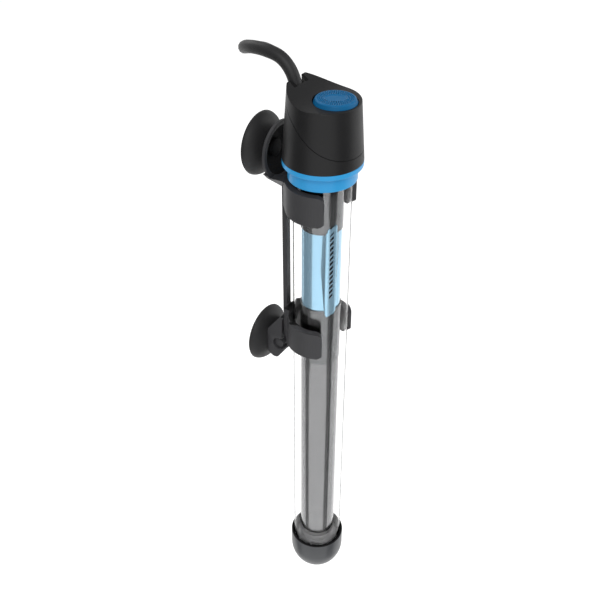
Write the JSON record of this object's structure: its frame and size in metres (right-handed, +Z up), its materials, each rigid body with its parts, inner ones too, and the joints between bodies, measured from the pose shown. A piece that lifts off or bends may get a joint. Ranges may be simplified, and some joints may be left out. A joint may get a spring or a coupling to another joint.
{
  "type": "submersible aquarium heater",
  "caption": "glass tube heater with a dark head, blue setting dial and collar, clipped in a bracket that stands on a tank wall by suction cups, with its cord and plug",
  "frame": {"origin": "centre of the upper suction cup's flat rim, on the tank wall that the heater hangs on", "axes": "+Z up along the glass tube, +Y into the tank wall, +X to the right of someone who looks at the wall"},
  "size_m": [0.1135, 0.0798, 0.3771],
  "materials": {
    "black_plastic": "satin moulded",
    "head_plastic": "satin moulded",
    "cup_rubber": "soft satin",
    "cap_rubber": "satin",
    "seal_rubber": "matt",
    "cord_rubber": "satin",
    "tube_glass": "clear polished",
    "lamp_glass": "clear",
    "blue_plastic": "satin moulded",
    "dial_plastic": "fine dotted grip",
    "pale_blue_plastic": "satin moulded",
    "carrier_plastic": "matt",
    "white_plastic": "matt",
    "wire_plastic": "matt",
    "contact_metal": "rolled",
    "pin_metal": "nickel plated",
    "sheath_metal": "satin",
    "winding_metal": "drawn wire",
    "ceramic": "unglazed"
  },
  "bodies": {
    "bracket": {"bracket": "black_plastic"},
    "heater": {"glass_tube": "tube_glass", "end_cap": "cap_rubber", "collar": "blue_plastic", "head_base": "head_plastic", "head_cover": "head_plastic", "dial_seal": "seal_rubber", "tube_bung": "seal_rubber", "cord_gland": "seal_rubber", "thermostat_carrier": "carrier_plastic", "thermostat_sleeve": "pale_blue_plastic", "bimetal_strip": "contact_metal", "contact_blade": "contact_metal", "contacts": "contact_metal", "pilot_lamp": "lamp_glass", "lead_wires": "wire_plastic", "element_holder": "carrier_plastic", "element_sheath": "sheath_metal", "element_foot": "seal_rubber", "ceramic_core": "ceramic", "heating_winding": "winding_metal", "cord": "cord_rubber", "cord_hank": "cord_rubber", "hank_tie": "white_plastic", "cord_tail": "cord_rubber", "plug_body": "cord_rubber", "plug_pins": "pin_metal"},
    "dial": {"dial": "dial_plastic", "dial_spindle": "white_plastic"},
    "upper_cup": {"upper_cup": "cup_rubber"},
    "lower_holder": {"lower_cup_holder": "black_plastic"},
    "lower_cup": {"lower_cup": "cup_rubber"}
  },
  "joints": [
    {"name": "heater_slide", "type": "slide", "parent": "bracket", "child": "heater", "axis": [0, 0, 1], "range_m": [-0.0015, 0.125]},
    {"name": "dial_turn", "type": "hinge", "parent": "heater", "child": "dial", "pos_m": [0, -0.0369, 0.02], "axis": [0, 0, 1], "range_deg": [-135, 135]},
    {"name": "upper_cup_swivel", "type": "hinge", "parent": "bracket", "child": "upper_cup", "pos_m": [0, 0, 0], "axis": [0, 1, 0], "continuous": true},
    {"name": "lower_holder_tilt", "type": "hinge", "parent": "bracket", "child": "lower_holder", "pos_m": [0, -0.0119, -0.0996], "axis": [1, 0, 0], "range_deg": [-12, 3]},
    {"name": "lower_cup_swivel", "type": "hinge", "parent": "lower_holder", "child": "lower_cup", "pos_m": [0, 0, -0.1005], "axis": [0, 1, 0], "continuous": true}
  ]
}
